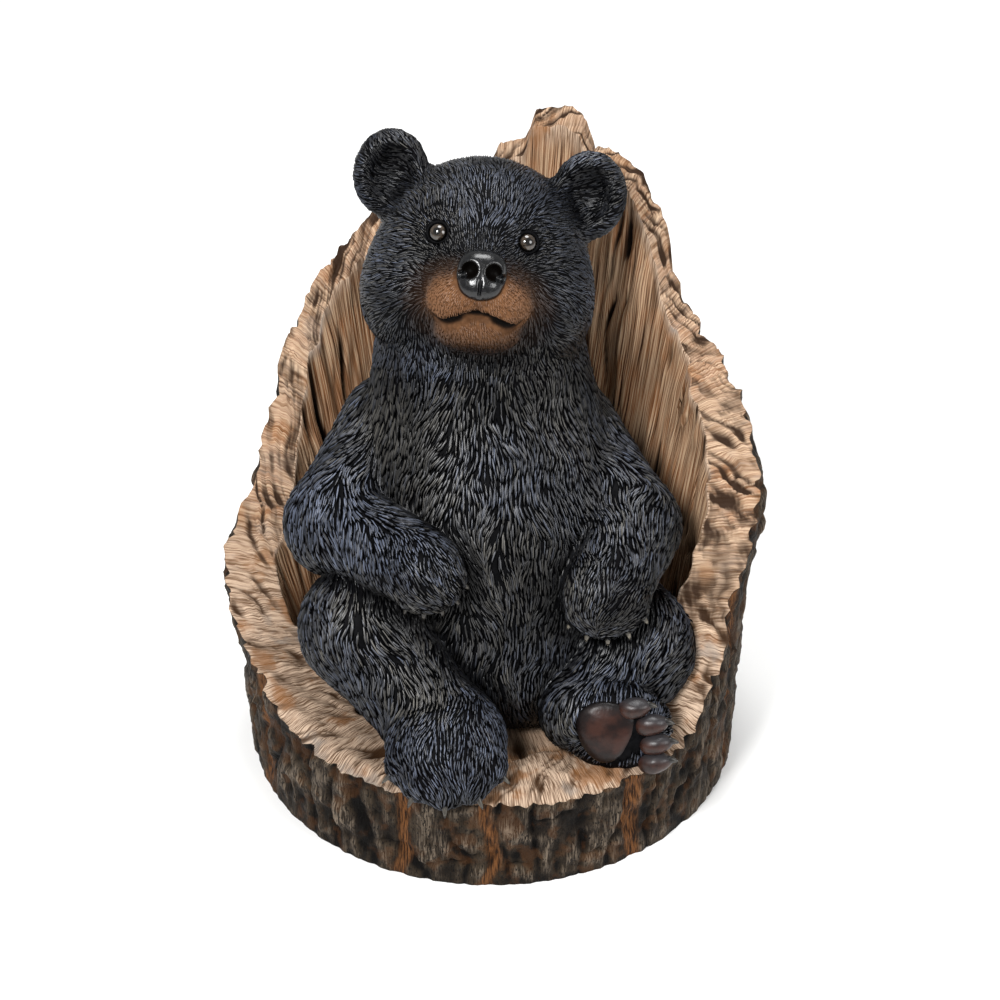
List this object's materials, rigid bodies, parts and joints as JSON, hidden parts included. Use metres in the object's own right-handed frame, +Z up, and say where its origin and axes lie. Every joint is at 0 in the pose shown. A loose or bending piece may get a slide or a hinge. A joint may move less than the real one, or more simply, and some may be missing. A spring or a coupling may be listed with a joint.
{
  "type": "bear cub figurine in a tree stump",
  "caption": "Cast resin ornament of a black bear cub that leans back in a hollowed, bark-covered tree stump, with glass eyes, standing on its flat underside.",
  "frame": {"origin": "middle of the stump's flat underside, on the surface that it stands on", "axes": "+Z up, -Y the way the cub faces, +X to the viewer's right"},
  "size_m": [0.342, 0.3251, 0.3866],
  "materials": {
    "painted_resin": "hand-painted carved resin, near-black fur with grey-blue strand tips, brown bark and straw-coloured broken wood",
    "eye_glass": "polished dark glass"
  },
  "bodies": {
    "root": {"bear_in_stump": "painted_resin", "left_eye": "eye_glass", "right_eye": "eye_glass"}
  },
  "joints": []
}
